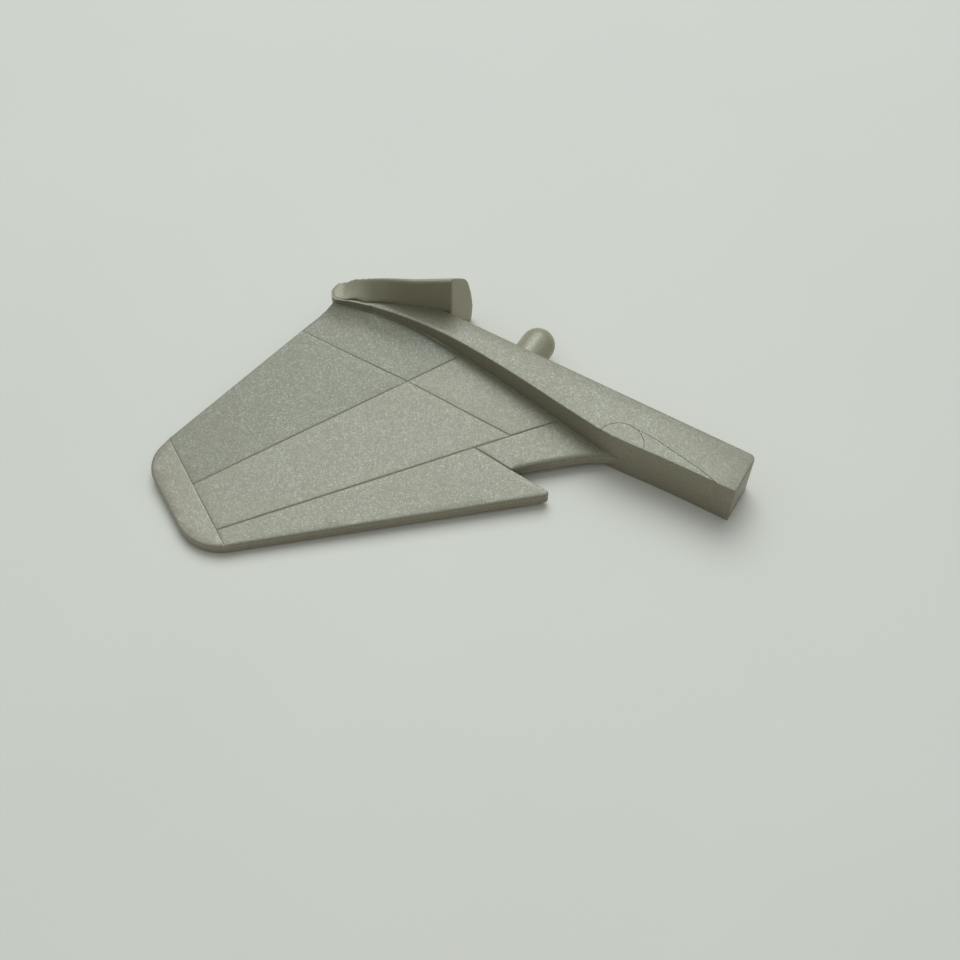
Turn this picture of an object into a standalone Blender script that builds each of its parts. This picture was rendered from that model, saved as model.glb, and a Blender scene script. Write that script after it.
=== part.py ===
"""Swept wing half with a root rail, a domed mounting peg and a rear cowl, as an assembly of moulded pieces.

The plan frame has x along the root rail, 0 at its square end and negative towards its nose, y across it,
0 on its back face and negative towards the wing tip, and z up from the surface that the wing rests on.
An empty shifts the plan frame so that the middle of the assembly's box stands on the world's origin.
"""

import math

import bmesh
import bpy
from mathutils import Vector
from mathutils.geometry import intersect_line_line

MM = 0.001
GAP = 0.30 * MM  # clearance between neighbouring pieces, and the width of an engraved line
REACH = 20.0 * MM  # how far cutters run past the shape that they cut

# Root rail
RAIL_HEIGHT = 6.77 * MM
RAIL_NOSE_X = -60.9 * MM
RAIL_NOSE_FRONT_Y = -6.35 * MM
RAIL_END_RADIUS = 0.8 * MM
RAIL_NOSE_BACK_Y = -3.3 * MM
RAIL_TAPER_X = -54.4 * MM
RAIL_NOSE_BACK_RADIUS = 1.3 * MM
RAIL_NOSE_FRONT_RADIUS = 1.3 * MM
RAIL_FRONT = (  # plan points in mm on the waisted front face, from the nose to the square end
    (-59.2, -5.85), (-56.3, -4.85), (-50.6, -3.83), (-44.4, -3.46), (-38.0, -3.84),
    (-30.8, -4.74), (-23.5, -5.85), (-17.0, -6.6), (-8.4, -6.3), (0.0, -6.2),
)

# Wing outline, as the crossing points in mm of its straight edges, and the radii of its corners
TRAILING_ROOT = (-60.1, -5.9)
TRAILING_TIP = (-68.03, -37.87)
LEADING_TIP = (-54.5, -45.47)
DOGTOOTH = (-20.15, -15.4)
NOTCH = (-26.68, -15.1)
INBOARD_EDGE = ((-26.68, -15.1), (-22.2, -10.95), (-18.3, -7.8), (-14.5, -5.9))
UNDER_RAIL = ((-14.5, -1.0), (-55.0, -1.0), (-60.0, -4.0))  # inside the rail, which trims the wing
TRAILING_TIP_RADIUS = 4.2 * MM
LEADING_TIP_RADIUS = 6.4 * MM
DOGTOOTH_RADIUS = 0.4 * MM

# Wing section: heights of the upper surface and thicknesses of the two skins together
ROOT_CHORD_START = -60.0 * MM
ROOT_CHORD_END = -7.8 * MM
ROOT_Y = -5.0 * MM
TIP_Y = -44.2 * MM
TRAILING_SWEEP = 0.248
LEADING_SWEEP = 1.125
ROOT_LEADING_Z = 2.4 * MM
ROOT_RISE = 2.3 * MM
ROOT_FLICK = 0.6 * MM
TIP_TRAILING_Z = 1.5 * MM
TIP_LEADING_Z = 1.8 * MM
TRAILING_THICKNESS = 1.5 * MM
LEADING_THICKNESS = 1.9 * MM
SKIN_CELLS = (34, 24)
SKIN_LIMITS = ((-70.0, -46.0), (-10.0, -1.0))  # plan corners in mm of the sheet that the wing is cut from

# Engraved lines between the upper panels, each from one plan point in mm to another
TIP_LINE = ((-71.7, -31.08), (-46.1, -45.79))
REAR_LINE = ((-60.3, -37.6), (-39.55, -1.0))
FRONT_LINE = ((-53.7, -41.3), (-21.35, -1.0))
CHORD_LINE_REAR = ((-64.0, -11.6), (-44.93, -10.69))
CHORD_LINE_FRONT = ((-44.93, -10.69), (-29.2, -10.75))
DOGTOOTH_LINE = ((-32.3, -14.65), (-18.0, -15.55))

# Tabs of the lower skin and their slots in the rail
TAB_CENTRES_X = (-41.0 * MM, -24.0 * MM)
TAB_WIDTH = 5.0 * MM
TAB_DEPTH = 1.5 * MM
TAB_ROOT = 1.2 * MM
TAB_THICKNESS = 0.55 * MM

# Rear cowl: a D-shaped section swept along the slanting inner face, and shrinking towards the nose
COWL_END = (-44.95, 0.30)
COWL_ANGLE = math.radians(200.96)
COWL_LENGTH = 19.0 * MM
COWL_OVERRUN = 2.2 * MM
COWL_SECTION = ((0.0, 0.0), (0.2, 12.65), (3.55, 9.3), (4.55, 6.2), (5.05, 2.7), (4.8, 0.0))
BEHIND_COWL = (-50.0, 8.0)  # a point behind the cowl's back, from which its nose begins
COWL_HEIGHT_TAPER = 0.0165 / MM
COWL_WIDTH_TAPER = 0.023 / MM

# Mounting peg
PEG_X = -33.4 * MM
PEG_Z = 3.4 * MM
PEG_RADIUS = 2.35 * MM
PEG_TIP_Y = 6.0 * MM  # the tip reaches a little further back than the cowl
PEG_SEAT = 2.2 * MM

# Inlays in the rail's top
COVER_CENTRE = (-15.6, -7.0)
COVER_RADIUS = 3.05 * MM
INLAY_DEPTH = 1.2 * MM
FAIRING_CREST = ((-14.6, -4.05), (-12.1, -4.2), (-9.0, -4.73), (-5.7, -5.34), (-3.2, -6.0), (-1.6, -6.7))
FAIRING_FRONT_Y = -12.0 * MM  # in front of the rail, which trims the fairing

PEARL_GREY = "#9FA198"
WARM_GREY = "#A5A097"
DEEP_GREY = "#8F9283"
RAIL_GREY = "#9A9B8F"


def metres(points):
    """Return plan points given in mm as vectors in metres."""
    return [Vector((x * MM, y * MM, 0.0)) for x, y in points]


def spline(points, steps=3):
    """Return the points of a smooth Catmull-Rom curve through the given points."""
    padded = [points[0] * 2 - points[1], *points, points[-1] * 2 - points[-2]]
    result = []
    for before, start, end, after in zip(padded, padded[1:], padded[2:], padded[3:]):
        for step in range(steps):
            t = step / steps
            result.append(0.5 * (
                start * 2
                + (end - before) * t
                + (before * 2 - start * 5 + end * 4 - after) * t ** 2
                + (start * 3 - before - end * 3 + after) * t ** 3
            ))
    return result + [points[-1]]


def fillet(before, corner, after, radius, steps=5):
    """Return the points of an arc of the given radius that rounds one corner of an outline."""
    back = (before - corner).normalized()
    ahead = (after - corner).normalized()
    half_angle = back.angle(ahead) / 2
    centre = corner + (back + ahead).normalized() * radius / math.sin(half_angle)
    tangent = radius / math.tan(half_angle)
    start = corner + back * tangent - centre
    end = corner + ahead * tangent - centre
    turn = start.angle(end)
    side = (end - start * math.cos(turn)) / math.sin(turn)
    return [
        centre + start * math.cos(turn * i / steps) + side * math.sin(turn * i / steps)
        for i in range(steps + 1)
    ]


def grown(outline, distance):
    """Return an anticlockwise outline with every point moved outwards by the distance."""
    result = []
    for before, point, after in zip(outline[-1:] + outline[:-1], outline, outline[1:] + outline[:1]):
        first = (point - before).normalized()
        second = (after - point).normalized()
        normal = Vector((first.y + second.y, -first.x - second.x, 0.0)).normalized()
        stretch = max(normal.dot(Vector((first.y, -first.x, 0.0))), 0.5)
        result.append(point + normal * distance / stretch)
    return result


def chord_fraction(x, y):
    """Return how far a plan point lies from the trailing edge towards the leading edge, 0 to 1."""
    start = ROOT_CHORD_START + TRAILING_SWEEP * (y - ROOT_Y)
    end = ROOT_CHORD_END + LEADING_SWEEP * (y - ROOT_Y)
    return min(max((x - start) / max(end - start, MM), 0.0), 1.0)


def span_fraction(y):
    """Return how far a plan point lies from the root towards the tip, 0 to 1."""
    return min(max((ROOT_Y - y) / (ROOT_Y - TIP_Y), 0.0), 1.0)


def root_height(chord):
    """Return the height of the upper surface at the root, which rises towards the trailing edge."""
    return ROOT_LEADING_Z + ROOT_RISE * (1 - chord) + ROOT_FLICK * (1 - chord) ** 4


def upper_height(x, y):
    """Return the height of the wing's cambered upper surface."""
    chord = chord_fraction(x, y)
    span = span_fraction(y)
    root = root_height(chord)
    tip = TIP_TRAILING_Z + (TIP_LEADING_Z - TIP_TRAILING_Z) * chord
    return root * (1 - span) + tip * span


def lower_height(x, y):
    """Return the height of the wing's lower surface, which meets the ground at the tip."""
    chord = chord_fraction(x, y)
    root = root_height(chord)
    thickness = TRAILING_THICKNESS + (LEADING_THICKNESS - TRAILING_THICKNESS) * chord
    return (root - thickness) * (1 - span_fraction(y))


def seam_height(x, y):
    """Return the height halfway between the two surfaces, where the skins part."""
    return (upper_height(x, y) + lower_height(x, y)) / 2


def srgb(code):
    """Return a hex colour as linear red, green, blue and alpha."""
    values = [int(code[i:i + 2], 16) / 255 for i in (1, 3, 5)]
    linear = [v / 12.92 if v <= 0.04045 else ((v + 0.055) / 1.055) ** 2.4 for v in values]
    return (*linear, 1.0)


def paint(part, colour, roughness=0.38, metallic=0.25):
    """Give a part its own pearl plastic material."""
    material = bpy.data.materials.new(part.name + "_plastic")
    material.use_nodes = True
    shader = material.node_tree.nodes["Principled BSDF"]
    shader.inputs["Base Color"].default_value = srgb(colour)
    shader.inputs["Roughness"].default_value = roughness
    shader.inputs["Metallic"].default_value = metallic
    part.data.materials.clear()
    part.data.materials.append(material)


def mesh_object(name, mesh, group):
    """Link a mesh as an object in a collection."""
    item = bpy.data.objects.new(name, mesh)
    group["collection"].objects.link(item)
    item.parent = group["parent"]
    if group["hidden"]:
        item.hide_render = True
        item.display_type = "WIRE"
    return item


def prism(name, outline, bottom, top, group):
    """Extrude a flat plan outline between two heights."""
    curve = bpy.data.curves.new(name, "CURVE")
    curve.dimensions = "2D"
    curve.fill_mode = "BOTH"
    curve.extrude = (top - bottom) / 2
    loop = curve.splines.new("POLY")
    loop.points.add(len(outline) - 1)
    for knot, point in zip(loop.points, outline):
        knot.co = (point.x, point.y, 0.0, 1.0)
    loop.use_cyclic_u = True
    source = bpy.data.objects.new(name + "_outline", curve)
    bpy.context.scene.collection.objects.link(source)
    mesh = bpy.data.meshes.new_from_object(source.evaluated_get(bpy.context.evaluated_depsgraph_get()))
    bpy.data.objects.remove(source)
    bpy.data.curves.remove(curve)
    solid = bmesh.new()
    solid.from_mesh(mesh)
    bmesh.ops.remove_doubles(solid, verts=solid.verts, dist=0.001 * MM)
    bmesh.ops.translate(solid, verts=solid.verts, vec=(0.0, 0.0, (top + bottom) / 2))
    bmesh.ops.recalc_face_normals(solid, faces=solid.faces)
    solid.to_mesh(mesh)
    solid.free()
    mesh.name = name
    return mesh_object(name, mesh, group)


def box(name, low, high, group):
    """Make a box between two corners."""
    centre = (Vector(low) + Vector(high)) / 2
    size = Vector(high) - Vector(low)
    solid = bmesh.new()
    bmesh.ops.create_cube(solid, size=1.0)
    bmesh.ops.scale(solid, verts=solid.verts, vec=size)
    bmesh.ops.translate(solid, verts=solid.verts, vec=centre)
    mesh = bpy.data.meshes.new(name)
    solid.to_mesh(mesh)
    solid.free()
    return mesh_object(name, mesh, group)


def skin(name, upper, lower, group):
    """Make one cambered sheet over the whole wing between an upper and a lower height function."""
    solid = bmesh.new()
    columns, rows = SKIN_CELLS
    bmesh.ops.create_grid(solid, x_segments=columns, y_segments=rows, size=1.0)
    (left, front), (right, back) = ((x * MM, y * MM) for x, y in SKIN_LIMITS)
    for vert in solid.verts:
        vert.co.x = left + (right - left) * (vert.co.x + 1) / 2
        vert.co.y = front + (back - front) * (vert.co.y + 1) / 2
        vert.co.z = upper(vert.co.x, vert.co.y)
    walls = bmesh.ops.extrude_face_region(solid, geom=solid.faces[:])
    for item in walls["geom"]:
        if isinstance(item, bmesh.types.BMVert):
            item.co.z = lower(item.co.x, item.co.y)
    bmesh.ops.recalc_face_normals(solid, faces=solid.faces)
    mesh = bpy.data.meshes.new(name)
    solid.to_mesh(mesh)
    solid.free()
    return mesh_object(name, mesh, group)


def cut(part, cutter, operation="DIFFERENCE", solver="EXACT"):
    """Cut a part with another object. The thin cambered skins need the manifold solver."""
    modifier = part.modifiers.new(operation.title() + "_" + cutter.name, "BOOLEAN")
    modifier.operation = operation
    modifier.object = cutter
    modifier.solver = solver


def nose_outline(back, front):
    """Return the rounded nose that the rail and the cowl share, between one point behind and one in front."""
    nose_back = Vector((RAIL_NOSE_X, RAIL_NOSE_BACK_Y, 0.0))
    nose_front = Vector((RAIL_NOSE_X, RAIL_NOSE_FRONT_Y, 0.0))
    return [
        *fillet(back, nose_back, nose_front, RAIL_NOSE_BACK_RADIUS),
        *fillet(nose_back, nose_front, front, RAIL_NOSE_FRONT_RADIUS, 4),
    ]


def rail_outline():
    """Return the rail's plan outline, anticlockwise from the nose along the waisted front."""
    front = spline(metres(RAIL_FRONT))
    end_back = Vector((0.0, 0.0, 0.0))
    taper = Vector((RAIL_TAPER_X, 0.0, 0.0))
    return [
        *front,
        *fillet(front[-1], end_back, taper, RAIL_END_RADIUS, 3),
        taper,
        *nose_outline(taper, front[0]),
    ]


def wing_outline():
    """Return the wing's plan outline, anticlockwise from the trailing root corner to the inboard edge."""
    root, tip, nose, tooth, notch = metres((TRAILING_ROOT, TRAILING_TIP, LEADING_TIP, DOGTOOTH, NOTCH))
    return [
        root,
        *fillet(root, tip, nose, TRAILING_TIP_RADIUS, 7),
        *fillet(tip, nose, tooth, LEADING_TIP_RADIUS, 7),
        *fillet(nose, tooth, notch, DOGTOOTH_RADIUS, 4),
        *spline(metres(INBOARD_EDGE)),
        *metres(UNDER_RAIL),
    ]


def make_cutters(group):
    """Make the outlines, groove blades and clearances that shape the panels."""
    cutters = {
        "wing": prism("wing_plan", wing_outline(), -REACH, REACH, group),
        "rail": prism("rail_clearance", grown(rail_outline(), GAP), -REACH, REACH, group),
        "grooves": [],
    }
    lines = (TIP_LINE, REAR_LINE, FRONT_LINE, CHORD_LINE_REAR, CHORD_LINE_FRONT, DOGTOOTH_LINE)
    for index, line in enumerate(lines):
        start, end = metres(line)
        along = (end - start).normalized() * GAP / 4
        side = Vector((-along.y, along.x, 0.0)) * 2
        corners = [start - along - side, end + along - side, end + along + side, start - along + side]
        cutters["grooves"].append(prism("groove_%d" % (index + 1), corners, -REACH, REACH, group))
    return cutters


def crossing(first, second):
    """Return where two lines, each two plan points in mm, cross or would cross if they ran on."""
    return intersect_line_line(*metres(first), *metres(second))[0]


def panel_regions():
    """Return the plan region that takes each upper panel out of the wing, up to the middle of its lines."""
    left = ((-72.0, -50.0), (-72.0, 0.0))
    right = ((-10.0, -50.0), (-10.0, 0.0))
    inboard = ((-72.0, -1.0), (0.0, -1.0))
    tip_left, tip_right = crossing(TIP_LINE, left), crossing(TIP_LINE, right)
    tip_rear, tip_front = crossing(TIP_LINE, REAR_LINE), crossing(TIP_LINE, FRONT_LINE)
    chord_left = crossing(CHORD_LINE_REAR, left)
    chord_rear, chord_front = crossing(CHORD_LINE_REAR, REAR_LINE), crossing(CHORD_LINE_FRONT, FRONT_LINE)
    tooth, tooth_right = crossing(DOGTOOTH_LINE, FRONT_LINE), crossing(DOGTOOTH_LINE, right)
    root_left, root_right = crossing(inboard, left), crossing(inboard, right)
    root_rear, root_front = crossing(inboard, REAR_LINE), crossing(inboard, FRONT_LINE)
    return {
        "tip_cap": (tip_left, tip_left + Vector((0.0, -REACH * 2, 0.0)), tip_right),
        "trailing_edge_outer": (chord_left, tip_left, tip_rear, chord_rear),
        "trailing_edge_inner": (chord_left, chord_rear, root_rear, root_left),
        "mid_panel_outer": (chord_rear, tip_rear, tip_front, tooth, chord_front),
        "mid_panel_inner": (chord_rear, chord_front, root_front, root_rear),
        "leading_edge_outer": (tip_front, tip_right, tooth_right, tooth),
        "leading_edge_inner": (chord_front, tooth, tooth_right, root_right, root_front),
    }


PANEL_COLOURS = {"tip_cap": WARM_GREY, "trailing_edge_inner": DEEP_GREY, "trailing_edge_outer": DEEP_GREY}


def make_upper_panels(parts, cutting, cutters):
    """Make the seven upper panels, parted by the engraved lines."""
    for name, region in panel_regions().items():
        panel = skin(name, upper_height, lambda x, y: seam_height(x, y) + GAP / 2, parts)
        region_cutter = prism(name + "_region", region, -REACH, REACH, cutting)
        cut(panel, region_cutter, "INTERSECT", "MANIFOLD")
        cut(panel, cutters["wing"], "INTERSECT", "MANIFOLD")
        for cutter in (cutters["rail"], *cutters["grooves"]):
            cut(panel, cutter, "DIFFERENCE", "MANIFOLD")
        paint(panel, PANEL_COLOURS.get(name, PEARL_GREY))


def tab_box(name, centre_x, growth, group):
    """Make one tab, or with growth its slot, where the lower skin meets the rail."""
    edge_y = rail_front_y(centre_x)
    middle_z = (seam_height(centre_x, edge_y) + lower_height(centre_x, edge_y)) / 2 - GAP / 4
    half = Vector((TAB_WIDTH / 2 + growth, 0.0, TAB_THICKNESS / 2 + growth))
    low = Vector((centre_x, edge_y - TAB_ROOT, middle_z)) - half
    high = Vector((centre_x, edge_y + TAB_DEPTH + growth, middle_z)) + half
    return box(name, low, high, group)


def rail_front_y(x):
    """Return the y of the rail's front face at one x."""
    front = spline(metres(RAIL_FRONT))
    for start, end in zip(front, front[1:]):
        if start.x <= x <= end.x:
            return start.y + (end.y - start.y) * (x - start.x) / (end.x - start.x)
    raise ValueError("x lies past the rail's front face")


def make_lower_skin(parts, cutting, cutters):
    """Make the lower shell of the wing with its two tabs."""
    shell = skin("lower_skin", lambda x, y: seam_height(x, y) - GAP / 2, lower_height, parts)
    cut(shell, cutters["wing"], "INTERSECT", "MANIFOLD")
    cut(shell, cutters["rail"], "DIFFERENCE", "MANIFOLD")
    for index, centre_x in enumerate(TAB_CENTRES_X):
        cut(shell, tab_box("tab_%d" % (index + 1), centre_x, 0.0, cutting), "UNION", "MANIFOLD")
    paint(shell, RAIL_GREY)


def cover_disc(name, radius, bottom, group):
    """Make a disc centred on the round cover, from a depth to just above the rail's top."""
    solid = bmesh.new()
    top = RAIL_HEIGHT + GAP
    bmesh.ops.create_cone(
        solid, cap_ends=True, segments=48, radius1=radius, radius2=radius, depth=top - bottom
    )
    centre = metres((COVER_CENTRE,))[0]
    bmesh.ops.translate(solid, verts=solid.verts, vec=(centre.x, centre.y, (top + bottom) / 2))
    mesh = bpy.data.meshes.new(name)
    solid.to_mesh(mesh)
    solid.free()
    return mesh_object(name, mesh, group)


def fairing_outline(growth):
    """Return the plan outline of the fairing, which runs past the rail's front face."""
    crest = spline(metres(FAIRING_CREST))
    front = [Vector((end.x, FAIRING_FRONT_Y, 0.0)) for end in (crest[0], crest[-1])]
    return grown([*front, *crest[::-1]], growth)


def make_inlays(parts, cutting):
    """Make the round cover and the fairing, flush with the rail's top and front."""
    bottom = RAIL_HEIGHT - INLAY_DEPTH
    block = prism("rail_solid", rail_outline(), -REACH, RAIL_HEIGHT, cutting)
    cover = cover_disc("round_cover", COVER_RADIUS - GAP / 2, bottom, parts)
    cut(cover, block, "INTERSECT")
    paint(cover, PEARL_GREY)
    fairing = prism("edge_fairing", fairing_outline(-GAP / 2), bottom, RAIL_HEIGHT + GAP, parts)
    cut(fairing, block, "INTERSECT")
    cut(fairing, cover_disc("cover_clearance", COVER_RADIUS + GAP / 2, -REACH, cutting))
    paint(fairing, PEARL_GREY)


def peg_shape(name, radius, seat, tip, group):
    """Turn a peg with a domed end about the peg's axis, from its seat in the rail to its tip."""
    steps = 8
    shoulder = tip - radius
    profile = [Vector((0.0, 0.0, tip))]
    for step in range(1, steps + 1):
        angle = math.pi / 2 * (1 - step / steps)
        profile.append(Vector((radius * math.cos(angle), 0.0, shoulder + radius * math.sin(angle))))
    profile += [Vector((radius, 0.0, seat)), Vector((0.0, 0.0, seat))]
    mesh = bpy.data.meshes.new(name)
    mesh.from_pydata(profile, [(i, i + 1) for i in range(len(profile) - 1)], [])
    peg = mesh_object(name, mesh, group)
    peg.location = (PEG_X, 0.0, PEG_Z)
    peg.rotation_euler = (-math.pi / 2, 0.0, 0.0)
    screw = peg.modifiers.new("turn", "SCREW")
    screw.steps = screw.render_steps = 32
    screw.use_merge_vertices = True
    screw.merge_threshold = 0.01 * MM
    return peg


def make_peg(parts):
    """Make the mounting peg."""
    peg = peg_shape("mounting_peg", PEG_RADIUS, -PEG_SEAT, PEG_TIP_Y, parts)
    paint(peg, PEARL_GREY)


def make_rail(parts, cutting):
    """Make the root rail with its bore, slots and pockets."""
    rail = prism("root_rail", rail_outline(), 0.0, RAIL_HEIGHT, parts)
    cut(rail, peg_shape("peg_bore", PEG_RADIUS + GAP, -PEG_SEAT - GAP, PEG_TIP_Y, cutting))
    for index, centre_x in enumerate(TAB_CENTRES_X):
        cut(rail, tab_box("slot_%d" % (index + 1), centre_x, GAP, cutting))
    pocket_floor = RAIL_HEIGHT - INLAY_DEPTH - GAP
    cut(rail, cover_disc("cover_pocket", COVER_RADIUS + GAP / 2, pocket_floor, cutting))
    cut(rail, prism("fairing_pocket", fairing_outline(GAP / 2), pocket_floor, RAIL_HEIGHT + GAP, cutting))
    paint(rail, RAIL_GREY)


def cowl_plan():
    """Return the plan outline that squares the cowl's inner end and rounds its nose."""
    front = metres(RAIL_FRONT)[0]
    end_x = COWL_END[0] * MM
    behind = metres((BEHIND_COWL,))[0]
    return [
        Vector((end_x, front.y, 0.0)),
        Vector((end_x, behind.y, 0.0)),
        behind,
        *nose_outline(behind, front),
        front,
    ]


def make_cowl(parts, cutting):
    """Make the cowl that sits on the rail's nose and hangs behind it."""
    section = [Vector((across * MM, height * MM, 0.0)) for across, height in COWL_SECTION]
    straight, curved = section[:2], spline(section[2:])
    cowl = prism("rear_cowl", straight + curved, -COWL_OVERRUN, COWL_LENGTH, parts)
    solid = bmesh.new()
    solid.from_mesh(cowl.data)
    start = metres((COWL_END,))[0]
    along = Vector((math.cos(COWL_ANGLE), math.sin(COWL_ANGLE), 0.0))
    across = Vector((along.y, -along.x, 0.0))
    for vert in solid.verts:
        side, height, run = vert.co
        side *= 1 - COWL_WIDTH_TAPER * run
        height *= 1 - COWL_HEIGHT_TAPER * run
        vert.co = start + across * side + along * run + Vector((0.0, 0.0, height))
    bmesh.ops.recalc_face_normals(solid, faces=solid.faces)
    solid.to_mesh(cowl.data)
    solid.free()
    cut(cowl, prism("cowl_plan", cowl_plan(), -REACH, REACH, cutting), "INTERSECT")
    seat_low = Vector((-REACH * 4, -REACH, -REACH))
    seat_high = Vector((0.0, GAP, RAIL_HEIGHT + GAP))
    cut(cowl, box("rail_seat", seat_low, seat_high, cutting))
    paint(cowl, DEEP_GREY)


def clear_scene():
    """Remove what the scene holds."""
    for item in list(bpy.data.objects):
        bpy.data.objects.remove(item)
    for collection in list(bpy.data.collections):
        bpy.data.collections.remove(collection)


def make_group(name, parent, hidden):
    """Make a collection and say how its objects are linked."""
    collection = bpy.data.collections.new(name)
    bpy.context.scene.collection.children.link(collection)
    return {"collection": collection, "parent": parent, "hidden": hidden}


def main():
    """Build the whole assembly."""
    clear_scene()
    plan_frame = bpy.data.objects.new("plan_frame", None)
    bpy.context.scene.collection.objects.link(plan_frame)
    outline = wing_outline()
    middle_x = min(point.x for point in outline) / 2
    middle_y = (min(point.y for point in outline) + PEG_TIP_Y) / 2
    plan_frame.location = (-middle_x, -middle_y, 0.0)
    parts = make_group("swept_wing_half", plan_frame, False)
    cutting = make_group("cutters", plan_frame, True)
    cutters = make_cutters(cutting)
    make_upper_panels(parts, cutting, cutters)
    make_lower_skin(parts, cutting, cutters)
    make_rail(parts, cutting)
    make_inlays(parts, cutting)
    make_peg(parts)
    make_cowl(parts, cutting)


main()
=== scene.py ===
"""Looks of the swept wing half: its moulded pearl plastic pieces, the table it lies on and the studio light.

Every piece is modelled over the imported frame. Plan points are in mm from the rail's square back corner,
x along the rail and negative towards its nose, y across it and negative towards the wing tip, z up.
"""

import math

import bpy
from bpy.props import FloatProperty, FloatVectorProperty, PointerProperty, StringProperty
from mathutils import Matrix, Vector


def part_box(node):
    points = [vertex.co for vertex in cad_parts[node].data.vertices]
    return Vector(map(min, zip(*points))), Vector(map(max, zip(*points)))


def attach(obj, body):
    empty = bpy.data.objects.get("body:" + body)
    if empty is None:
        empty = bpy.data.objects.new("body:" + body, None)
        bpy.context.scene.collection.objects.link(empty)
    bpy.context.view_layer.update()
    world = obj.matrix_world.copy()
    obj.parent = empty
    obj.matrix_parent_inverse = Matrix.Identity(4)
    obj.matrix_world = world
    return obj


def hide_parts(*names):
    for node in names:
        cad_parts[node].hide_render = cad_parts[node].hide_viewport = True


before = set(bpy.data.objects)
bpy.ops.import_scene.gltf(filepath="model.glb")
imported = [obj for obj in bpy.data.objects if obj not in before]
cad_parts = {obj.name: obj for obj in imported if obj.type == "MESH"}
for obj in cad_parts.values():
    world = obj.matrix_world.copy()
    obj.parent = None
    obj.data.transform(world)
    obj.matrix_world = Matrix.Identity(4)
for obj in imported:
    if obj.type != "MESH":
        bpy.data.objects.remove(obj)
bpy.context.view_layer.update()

bl_info = {
    "name": "Swept Wing Half",
    "version": (1, 0, 0),
    "blender": (4, 5, 0),
    "location": "3D View > Sidebar > Wing",
    "description": "Models the pearl plastic pieces of a swept wing half over its packed frame",
    "category": "Add Mesh",
}

MM = 0.001
RAIL_LOW, RAIL_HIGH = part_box("root_rail")
ORIGIN = Vector((RAIL_HIGH.x, RAIL_HIGH.y, 0.0))  # the plan's own origin in the frame
RAIL_TOP = RAIL_HIGH.z / MM

# Wing outline in plan, as the crossings of its edges with their corner radii
TRAILING_ROOT = (-60.1, -5.9)
TRAILING_TIP = (-68.03, -37.87)
LEADING_TIP = (-54.5, -45.47)
DOGTOOTH = (-20.15, -15.4)
NOTCH = (-26.68, -15.1)
INBOARD_EDGE = (NOTCH, (-22.2, -10.95), (-18.3, -7.8), (-14.5, -5.9))
TRAILING_TIP_RADIUS = 4.2
LEADING_TIP_RADIUS = 6.4
DOGTOOTH_RADIUS = 0.4

# Engraved lines of the upper surface
TIP_LINE = ((-71.7, -31.08), (-46.1, -45.79))
REAR_LINE = ((-60.3, -37.6), (-39.55, -1.0))
FRONT_LINE = ((-53.7, -41.3), (-21.35, -1.0))
CHORD_LINE_REAR = ((-64.0, -11.6), (-44.93, -10.69))
CHORD_LINE_FRONT = ((-44.93, -10.69), (-29.2, -10.75))
DOGTOOTH_LINE = ((-32.3, -14.65), (-18.0, -15.55))

# Each upper panel: a plan point inside it, and the lines that bound it
PANELS = {
    "tip_cap": ((-62.0, -39.0), (TIP_LINE,)),
    "trailing_edge_outer": ((-60.0, -25.0), (TIP_LINE, REAR_LINE, CHORD_LINE_REAR)),
    "trailing_edge_inner": ((-55.0, -8.0), (CHORD_LINE_REAR, REAR_LINE)),
    "mid_panel_outer": ((-48.0, -25.0), (REAR_LINE, TIP_LINE, FRONT_LINE, CHORD_LINE_FRONT)),
    "mid_panel_inner": ((-37.0, -7.0), (REAR_LINE, CHORD_LINE_FRONT, FRONT_LINE)),
    "leading_edge_outer": ((-36.0, -25.0), (TIP_LINE, FRONT_LINE, DOGTOOTH_LINE)),
    "leading_edge_inner": ((-25.0, -10.0), (DOGTOOTH_LINE, FRONT_LINE)),
}
PANEL_SLOTS = {
    "tip_cap": "tip_plastic",
    "trailing_edge_outer": "trailing_plastic",
    "trailing_edge_inner": "trailing_plastic",
    "mid_panel_outer": "panel_plastic",
    "mid_panel_inner": "panel_plastic",
    "leading_edge_outer": "leading_plastic",
    "leading_edge_inner": "leading_plastic",
}

# Wing section
ROOT_Y = -5.0
TIP_Y = -44.2
LINE_CLEARANCE = 0.004  # from a line's course to each panel's side wall
LINE_REACH = 0.25  # half the widest engraved line
LINE_DEPTHS = {  # each engraved line's depth as a share of the wing edge's rounding
    TIP_LINE: 0.1, REAR_LINE: 0.22, FRONT_LINE: 0.3, CHORD_LINE_REAR: 0.12, CHORD_LINE_FRONT: 0.1,
    DOGTOOTH_LINE: 0.12,
}
ROOT_RISE = 0.8
ROOT_RISE_START = -38.0
ROOT_RISE_LENGTH = 14.0
ROOT_RISE_WIDTH = 3.0
SLAB = 0.8  # thickness of a flat slab before it is draped to the wing's camber
DRAPE_CELL = 1.5  # spacing of the cuts that let a slab follow the camber
SUNK_DEPTH = 0.5  # how far the wing's outline runs into the rail
SUNK_CORNER = (-60.0, -4.8)
EDGE_TOLERANCE = 0.01  # picks the top or bottom edges of a slab
LINE_TOLERANCE = 0.03  # picks the edges along an engraved line
LOWER_EDGE_SHARE = 0.15  # a panel's lower edge is rounded by this share of the widest rounding
SEAM_EDGE_SHARE = 0.3  # the lower skin's edge at the seam is rounded by this share of its outer edge

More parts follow.
